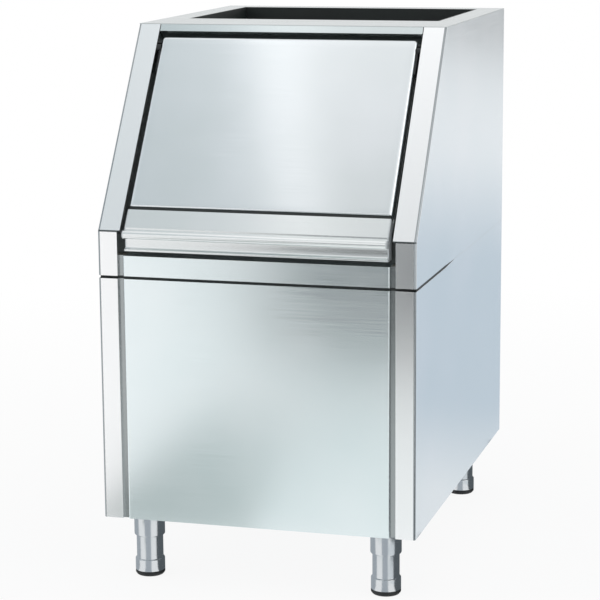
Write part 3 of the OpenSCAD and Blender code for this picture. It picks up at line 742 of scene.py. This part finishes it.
@dataclass
class DoorGasket:
    """The door's gasket: a hollow bulb on a wide foot, mitred at its corners.

    Low and high are its outer ends, up the slope from the break.
    """

    half_width: float = 228.0
    low: float = 53.0
    high: float = 357.53
    base_depth: float = 22.0
    width: float = 12.0
    foot: float = 3.0
    height: float = 11.7
    bulb_share: float = 0.3
    bulb_steps: int = 15
    foot_radii: tuple[float, ...] = (1.0, 0.4, 0.4, 1.0)

    def outline(self) -> np.ndarray:
        """Section as distance from the outer edge and depth. The bulb is a half circle on two straight sides.

        Returns:
            Closed outline, shape (n, 2).
        """
        middle, bulb_r = self.width / 2, self.width * self.bulb_share
        turn = np.linspace(0, math.pi, self.bulb_steps)
        bulb = np.stack([middle + bulb_r * np.cos(turn), self.height - bulb_r + bulb_r * np.sin(turn)], 1)
        foot = fillet([(middle - bulb_r, self.foot), (0.0, self.foot), (0.0, 0.0), (self.width, 0.0),
                       (self.width, self.foot), (middle + bulb_r, self.foot)], self.foot_radii, 4)
        return np.concatenate([foot, bulb])

    def build(self, palette: Palette) -> None:
        """Carries the outline round the door, mitred at its corners.

        At the corner with the signs sx and su, x = sx (half - inset) and up = middle + su (half - inset).

        Args:
            palette: The finishes.
        """
        outline = self.outline()
        inset, height = outline[None, :, 0], outline[None, :, 1]
        sx = np.array([-1, 1, 1, -1])[:, None]
        su = np.array([-1, -1, 1, 1])[:, None]
        middle, half = (self.low + self.high) / 2, (self.high - self.low) / 2
        grid = LAYOUT.sloped(sx * (self.half_width - inset), self.base_depth + height,
                             middle + su * (half - inset))
        piece = surface("door_seal", grid, wrap_rows=True, wrap_columns=True, sharp=40.0)
        place_piece(piece, Body.DOOR.value, palette.gasket, "door_gasket")


@dataclass
class Leg:
    """A levelling leg: a fixed sleeve, a sliding tube with a wide foot, and a rubber pad under it.

    Side, front and rear are its axis's distances from the body's edges.
    """

    corner: Corner
    side: float = 64.0
    front: float = 54.0
    rear: float = 74.0
    sleeve_r: float = 27.2
    sleeve_h: float = 42.0
    sleeve_end: float = 10.0
    sleeve_radii: tuple[float, ...] = (0.6, 2.6, 0.4, 0.4, 0.3)
    play: float = 0.05
    tube_r: float = 23.6
    tube_in: float = 16.0
    tube_wall: float = 3.0
    tube_radii: tuple[float, ...] = (0.6, 2.2, 1.0, 0.8, 0.4, 0.4, 0.4, 1.0)
    foot_r: float = 26.2
    foot_top: float = 30.0
    foot_rise: float = 1.2
    foot_skin: float = 6.0
    spindle_r: float = 8.0
    spindle_in: float = 20.0
    pad_h: float = 9.0
    pad_inset: float = 3.0
    pad_chamfer: float = 4.0
    pad_radii: tuple[float, ...] = (3.0, 3.0, 0.5)

    @property
    def centre(self) -> Pair:
        """Axis of the leg.

        Returns:
            Its x and y in millimetres of the frame.
        """
        _, sx, sy = self.corner.value
        y = self.front if sy < 0 else LAYOUT.depth - self.rear
        return sx * (LAYOUT.width / 2 - self.side), y + LAYOUT.front_y

    def sleeve(self) -> np.ndarray:
        """Closed section of the sleeve: open below for the tube, with a bore at its top for the spindle.

        Returns:
            Radius and height above the floor, shape (n, 2).
        """
        top, low = LAYOUT.leg_height, LAYOUT.leg_height - self.sleeve_h
        bore, mouth, end = self.spindle_r + self.play, self.tube_r + self.play, top - self.sleeve_end
        return fillet([(bore, top), (self.sleeve_r, top), (self.sleeve_r, low), (mouth, low), (mouth, end),
                       (bore, end), (bore, top)], self.sleeve_radii, 5)

    def tube(self) -> np.ndarray:
        """Section of the sliding tube, from its foot over the hollow above it to the spindle's top.

        Returns:
            Radius and height above the floor, shape (n, 2).
        """
        top = LAYOUT.leg_height - self.sleeve_h + self.tube_in
        inner, inside = self.tube_r - self.tube_wall, self.foot_top - self.foot_skin
        spindle_top = LAYOUT.leg_height + self.spindle_in
        return fillet([(0.0, self.pad_h), (self.foot_r, self.pad_h), (self.foot_r, self.foot_top),
                       (self.tube_r, self.foot_top + self.foot_rise), (self.tube_r, top), (inner, top),
                       (inner, inside), (self.spindle_r, inside), (self.spindle_r, spindle_top),
                       (0.0, spindle_top)], self.tube_radii)

    def pad(self) -> np.ndarray:
        """Section of the rubber pad, which narrows to the floor."""
        return fillet([(0.0, 0.0), (self.foot_r - self.pad_inset, 0.0), (self.foot_r, self.pad_chamfer),
                       (self.foot_r, self.pad_h), (0.0, self.pad_h)], self.pad_radii)

    def build(self, palette: Palette) -> None:
        """Turns the three pieces.

        Args:
            palette: The finishes.
        """
        word, foot, cabinet = self.corner.word, self.corner.foot, Body.CABINET.value
        parts = (("leg_collar", "leg_sleeve", self.sleeve(), cabinet, "leg_chrome", palette.chrome),
                 ("leg_tube", "leg_foot", self.tube(), foot, "leg_chrome", palette.chrome),
                 ("leg_pad", "foot_pad", self.pad(), foot, "black_rubber", palette.rubber))
        for name, node, profile, body, slot, finish in parts:
            piece = turned(f"{name}_{word}", self.centre, profile)
            place_piece(piece, body, finish, f"{node}_{word}")


@dataclass
class Cabinet:
    """What stays of the frame's own nodes: folded sheets, linings and small metalwork.

    In the folded sheets, points closer than merge are one, and an edge is sharp past sharp degrees.
    """

    finishes: dict[str, tuple[str, ...]] = field(default_factory=lambda: {
        "side": ("lower_side_left", "lower_side_right"),
        "hood": ("cheek_left", "cheek_right"),
        "front": ("lower_front", "apron"),
        "top": ("top_deck",),
        "bar": ("top_bar",),
        "zinc": ("base_pan", "back_panel", "back_screws", "hinge_block_left", "hinge_block_right",
                 *(f"leg_plate_{corner.word}" for corner in Corner)),
        "fitting": ("hinge_pin_left", "hinge_pin_right", "drain_fitting", "drain_strainer"),
        "coated": ("hinge_arm_left", "hinge_arm_right", "arm_rivets", "stop_peg_left", "stop_peg_right"),
        "rubber": ("door_buffers", "drain_washer"),
        "dark": ("drop_collar", "seam_strip", "door_trim"),
        "frame": ("mouth_frame",),
        "liner": ("liner", "door_liner"),
        "black_nylon": ("hinge_bush_left", "hinge_bush_right"),
        "nylon": ("drain_nut",),
        "foam": ("insulation", "door_core"),
    })
    folded: tuple[str, ...] = ("lower_side_left", "lower_side_right", "cheek_left", "cheek_right",
                               "lower_front", "apron", "top_bar", "top_deck", "drop_collar")
    merge: float = 0.01
    broken_edge: float = 0.35
    sharp: float = 40.0

    def soften(self, node: Piece) -> None:
        """Merges a node's loose faces, breaks its sharp edges with a small bevel and keeps its flats flat.

        Args:
            node: The node.
        """
        weld = node.modifiers.new("merge", "WELD")
        weld.merge_threshold = self.merge * MM
        bevel = node.modifiers.new("broken_edges", "BEVEL")
        bevel.width = self.broken_edge * MM
        bevel.segments = 2
        bevel.limit_method = "ANGLE"
        bevel.angle_limit = math.radians(self.sharp)
        normals = node.modifiers.new("even_normals", "WEIGHTED_NORMAL")
        normals.keep_sharp = True
        normals.weight = 100

    def build(self, palette: Palette) -> None:
        """Dresses each node and breaks the edges of the folded sheets.

        Args:
            palette: The finishes.
        """
        for finish, nodes in self.finishes.items():
            for node in nodes:
                dress(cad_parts[node], getattr(palette, finish))
                LOG.info("%s keeps its shape and is finished as %s", node, finish)
        for node in self.folded:
            self.soften(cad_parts[node])


@dataclass(frozen=True)
class Card:
    """A glowing card of the studio that only shows in what shiny surfaces mirror, as the flags of a photo
    studio do: its tones are painted reflections of light and shade round the bin.

    Its corners may have a colour each, and the tone runs evenly from one to the next.
    """

    name: str
    corners: list[Triple]
    colours: tuple[str, ...]
    strength: float = 1.0
    faces: list[list[int]] = field(default_factory=list)

    def build(self) -> None:
        """Makes the card as a glowing surface that only paints reflections."""
        mesh = bpy.data.meshes.new(self.name)
        mesh.from_pydata(self.corners, [], self.faces or [list(range(len(self.corners)))])
        tones = mesh.color_attributes.new("tone", "FLOAT_COLOR", "POINT")
        each = self.colours * (len(self.corners) // len(self.colours))
        tones.data.foreach_set("color", np.array([linear(c) for c in each]).ravel())
        card = bpy.data.objects.new(self.name, mesh)
        bpy.context.scene.collection.objects.link(card)
        material, tree = new_material(self.name)
        tone = add(tree, "Attribute", {"attribute_name": "tone"})
        light = add(tree, "Emission", {"Strength": self.strength}, {"Color": tone.outputs["Color"]})
        add(tree, "OutputMaterial", links={"Surface": light.outputs[0]})
        dress(card, material)
        card.visible_camera = card.visible_diffuse = card.visible_shadow = False
        card.visible_transmission = card.visible_volume_scatter = False


@dataclass(frozen=True)
class Overhead:
    """Where the cards hang that the door mirrors: a plane square to the mirrored view, turned by a lean.

    From the door, the mirrored view runs along ahead. The lean in degrees turns the plane's two unit
    vectors, across and up, about it.
    """

    door: Triple = (0.0, -0.26, 0.79)
    ahead: Triple = (-0.268, -0.516, 0.814)
    distance: float = 1.3
    lean: float = 32.0

    def card(self, name: str, aside: float, size: Pair, colours: tuple[str, ...], strength: float) -> Card:
        """Hangs a rectangular card in the plane.

        Args:
            name: Name of the card.
            aside: How far its middle lies across from the view.
            size: Its width and height.
            colours: Its colour, or its four corners' colours, from the lower left.
            strength: Strength of its light.

        Returns:
            The card.
        """
        ahead = Vector(self.ahead).normalized()
        across = Vector((0.0, 0.0, 1.0)).cross(ahead).normalized()
        turn = Matrix.Rotation(math.radians(self.lean), 3, ahead)
        across, up = turn @ across, turn @ ahead.cross(across)
        middle = Vector(self.door) + ahead * self.distance
        corners = [tuple(middle + across * (aside + x * size[0] / 2) + up * (y * size[1] / 2))
                   for x, y in ((-1, -1), (1, -1), (1, 1), (-1, 1))]
        return Card(name, corners, colours, strength)


@dataclass(frozen=True)
class LegCards:
    """Curved cards that stand round a leg and lie on the floor inside them, and paint the reflections in its
    chrome.

    Each arc has a name, a first and a last angle in degrees from the front towards the right, and a colour.
    """

    radius: float = 0.07
    inner: float = 0.028
    top: float = 0.108
    lift: float = 0.002
    steps: int = 12
    arcs: tuple[tuple[str, float, float, str], ...] = (
        ("left", -164.0, -56.0, "#b0b6bc"),
        ("front", -12.0, 26.0, "#b4bac0"),
        # Painted shade: the dark arc on the right stands in for the shaded floor under the bin in the
        # chrome's reflection.
        ("right", 67.0, 190.0, "#5c6266"),
    )

    def build(self, corner: Corner) -> None:
        """Makes the cards of one leg: x = cx + r sin a and y = cy - r cos a.

        Args:
            corner: The leg's corner.
        """
        cx, cy = (v * MM for v in Leg(corner).centre)
        rows = ((self.inner, self.lift), (self.radius, self.lift), (self.radius, self.top))
        faces = grid_quads(len(rows), self.steps + 1).tolist()
        for side, start, stop, colour in self.arcs:
            angle = np.radians(np.linspace(start, stop, self.steps + 1))
            points = [np.stack([cx + r * np.sin(angle), cy - r * np.cos(angle), np.full_like(angle, z)], 1)
                      for r, z in rows]
            name = f"card_leg_{side}_{corner.word}"
            Card(name, np.concatenate(points).tolist(), (colour,), faces=faces).build()


@dataclass
class Studio:
    """White floor, pale surroundings, soft lamps, a few cards and the camera.

    Angles are in degrees, and the lens and its sensor in millimetres.
    """

    floor_half: float = 12.0
    floor_fade: Pair = (0.5, 2.5)
    floor_white: float = 0.9
    lamp_size: float = 1.6
    lamp_aim: Triple = (0.0, 0.0, 0.5)
    card_lift: float = 0.003
    card_step: float = 0.0002
    camera_at: Triple = (1.045, -3.77025, 1.218)
    yaw: float = -15.88
    pitch: float = 11.19
    roll: float = 0.42
    lens: float = 128.46
    sensor: float = 36.0

    def backdrop_share(self, tree: Tree, share: Socket | None = None) -> Socket:
        """How far a shader gives way to white: a share for camera rays, all for glossy and transmission rays.

        Args:
            tree: The node tree.
            share: The share for camera rays, or nothing for all of it.

        Returns:
            The socket with the value.
        """
        path = add(tree, "LightPath")
        seen = path.outputs["Is Camera Ray"]
        if share is not None:
            seen = add(tree, "Math", {"operation": "MULTIPLY"}, {0: seen, 1: share}).outputs[0]
        for ray in ("Is Glossy Ray", "Is Transmission Ray"):
            seen = add(tree, "Math", {"operation": "MAXIMUM"}, {0: seen, 1: path.outputs[ray]}).outputs[0]
        return seen

    def build_floor(self) -> None:
        """Lays a large plain floor that keeps a soft shadow and otherwise shows as white."""
        side = np.array([-self.floor_half, self.floor_half])
        x, y = np.meshgrid(side, side, indexing="ij")
        floor = surface("floor", np.stack([x, y, np.zeros_like(x)], -1))
        if floor.data.polygons[0].normal.z < 0:
            floor.data.flip_normals()
        material, tree = new_material("white_painted_floor")
        paint = add(tree, "BsdfDiffuse", {"Color": linear("#f2f2f2")})
        glow = add(tree, "Emission", {"Color": linear(WHITE)})
        place = add(tree, "TexCoord").outputs["Object"]
        away = add(tree, "VectorMath", {"operation": "LENGTH"}, {0: place})
        share = add(tree, "MapRange", {"From Min": self.floor_fade[0], "From Max": self.floor_fade[1],
                                       "To Min": self.floor_white, "To Max": 1.0},
                    {"Value": away.outputs["Value"]})
        seen = self.backdrop_share(tree, share.outputs[0])
        mix = add(tree, "MixShader", links={0: seen, 1: paint.outputs[0], 2: glow.outputs[0]})
        add(tree, "OutputMaterial", links={"Surface": mix.outputs[0]})
        dress(floor, material)

    def build_world(self) -> None:
        """Surrounds the scene with even pale light that shows as white."""
        world = bpy.data.worlds.new("pale_room")
        bpy.context.scene.world = world
        world.use_nodes = True
        tree = world.node_tree
        tree.nodes.clear()
        room = add(tree, "Background", {"Color": linear("#f7f9fb"), "Strength": 0.72})
        white = add(tree, "Background", {"Color": linear(WHITE)})
        seen = self.backdrop_share(tree)
        mix = add(tree, "MixShader", links={0: seen, 1: room.outputs[0], 2: white.outputs[0]})
        add(tree, "OutputWorld", links={"Surface": mix.outputs[0]})

    def hang_lamp(self, name: str, at: Triple, watts: float) -> None:
        """Hangs a square soft lamp that faces the bin.

        Args:
            name: Name of the lamp.
            at: Its place.
            watts: Its power.
        """
        light = bpy.data.lights.new(name, "AREA")
        light.shape, light.size, light.energy = "SQUARE", self.lamp_size, watts
        lamp = bpy.data.objects.new(name, light)
        lamp.location = at
        lamp.rotation_euler = (Vector(self.lamp_aim) - Vector(at)).to_track_quat("-Z", "Y").to_euler()
        bpy.context.scene.collection.objects.link(lamp)

    def lay_cards(self) -> None:
        """Lays the cards on the floor that the upright sheets mirror, each a step above the one before; their
        dark and pale tones are painted reflections that shade the sheets.
        """
        cards = {
            "card_far_floor": (("#14191b", "#14191b", "#b4babd", "#b4babd"),
                               ((-0.56, -2.25), (1.3, -2.25), (2.4, -9.0), (-2.5, -9.0))),
            "card_front_floor": (("#e9eeee", "#f6f9f9", "#f6f9f9", "#d9dfdf"),
                                 ((-0.2, -0.66), (0.6, -0.66), (0.55, -2.15), (-0.36, -2.15))),
            "card_near_floor": (("#a3abaa", "#c2c9c8", "#cdd4d4", "#b4bcbb"),
                                ((-0.45, -0.66), (-0.1, -0.66), (-0.29, -1.65), (-0.49, -1.65))),
            "card_side_floor": (("#e6ebee",), ((0.29, -0.6), (2.6, -0.6), (2.6, 0.3), (0.29, 0.3))),
            "card_side_turn": (("#e6ebee", "#e6ebee", "#c7d3dd", "#c7d3dd"),
                               ((0.29, 0.3), (2.6, 0.3), (2.6, 1.0), (0.29, 1.0))),
            "card_side_blue": (("#c7d3dd",), ((0.29, 1.0), (2.6, 1.0), (2.6, 3.0), (0.29, 3.0))),
            "card_side_fade": (("#c7d3dd", "#c7d3dd", "#f2f5f7", "#f2f5f7"),
                               ((0.29, 3.0), (2.6, 3.0), (3.0, 5.4), (0.29, 5.4))),
            "card_back_floor": (("#f2f5f7", "#f2f5f7", "#ecf0f2", "#787e81"),
                                ((0.29, 5.4), (3.0, 5.4), (3.3, 11.9), (1.6, 11.9))),
            "card_left_floor": (("#cfd7dd",), ((-0.29, -0.3), (-2.6, -0.3), (-2.6, 3.6), (-0.29, 3.6))),
            "card_right_floor": (("#3c4448",), ((0.55, -0.42), (3.0, -0.75), (3.0, -1.9), (0.55, -0.75))),
        }
        for level, (name, (colours, corners)) in enumerate(cards.items()):
            z = self.card_lift + self.card_step * level
            Card(name, [(x, y, z) for x, y in corners], colours).build()

    def stand_cards(self) -> None:
        """Stands the cards at the ends of those on the floor: two ends of a foot and a height each. Their
        tones are painted reflections of the room.
        """
        cards = {
            "card_far_wall": (("#b4babd", "#b4babd", "#f4f6f7", "#f4f6f7"), (-2.5, -9.0), (2.4, -9.0), 3.2),
            "card_left_wall": (("#c6cdd2", "#d9dee1", "#f4f6f7", "#eef1f2"), (-2.6, -2.0), (-2.6, 3.6), 2.8),
            "card_back_wall": (("#565c5f", "#9fa4a7", "#f2f5f7", "#f2f5f7"), (1.6, 11.9), (3.3, 11.9), 3.0),
        }
        for name, (colours, a, b, top) in cards.items():
            Card(name, [(*a, 0.0), (*b, 0.0), (*b, top), (*a, top)], colours).build()

    def hang_cards(self) -> None:
        """Hangs the cards above that the door mirrors, from left to right; their tones are painted
        reflections, and the narrow bright one paints a highlight streak on the door.
        """
        cards = {
            "card_left_end": (-1.03, (1.0, 1.6), ("#dde3e6",), 1.0),
            "card_left": (-0.28, (0.5, 1.2), ("#bcc4c7", "#ced5d8", "#eaeff1", "#d6dde0"), 1.0),
            # Painted highlight: the narrow bright card lays a pale streak on the door.
            "card_highlight_band": (0.03, (0.12, 1.2), ("#dadada", "#dadada", WHITE, WHITE), 1.4),
            "card_right": (0.59, (1.0, 1.2), ("#b2b7b9", "#e6e9eb", WHITE, WHITE), 1.15),
        }
        for name, row in cards.items():
            Overhead().card(name, *row).build()

    def build_camera(self) -> None:
        """Sets the camera at the photograph's place. Its right and down vectors are turned by the roll."""
        yaw, pitch, roll = (math.radians(a) for a in (self.yaw, self.pitch, self.roll))
        ahead = Vector((math.sin(yaw) * math.cos(pitch), math.cos(yaw) * math.cos(pitch), -math.sin(pitch)))
        right = Vector((math.cos(yaw), -math.sin(yaw), 0.0))
        down = ahead.cross(right)
        turned_right = math.cos(roll) * right + math.sin(roll) * down
        turned_down = -math.sin(roll) * right + math.cos(roll) * down
        data = bpy.data.cameras.new("camera")
        data.lens, data.sensor_width = self.lens, self.sensor
        camera = bpy.data.objects.new("camera", data)
        turn = Matrix((turned_right, -turned_down, -ahead)).transposed().to_4x4()
        camera.matrix_world = Matrix.Translation(self.camera_at) @ turn
        bpy.context.scene.collection.objects.link(camera)
        bpy.context.scene.camera = camera

    def build(self) -> None:
        """Makes the floor, the world, the lamps, the cards and the camera."""
        self.build_floor()
        self.build_world()
        self.hang_lamp("lamp_left", (-3.2, -1.6, 2.8), 9.0)
        self.hang_lamp("lamp_right", (3.2, -0.6, 2.6), 6.0)
        self.lay_cards()
        self.stand_cards()
        self.hang_cards()
        for corner in Corner:
            LegCards().build(corner)
        self.build_camera()
        bpy.context.scene.view_settings.view_transform = "Standard"


def main() -> None:
    """Builds the studio, the new pieces and the finishes of the frame's nodes."""
    logging.basicConfig(level=logging.INFO, format="%(name)s: %(message)s")
    Studio().build()
    palette = Palette()
    Cabinet().build(palette)
    DoorPanel().build(palette)
    DoorHandle().build(palette)
    DoorGasket().build(palette)
    for corner in Corner:
        Leg(corner).build(palette)


if __name__ == "__main__":
    main()
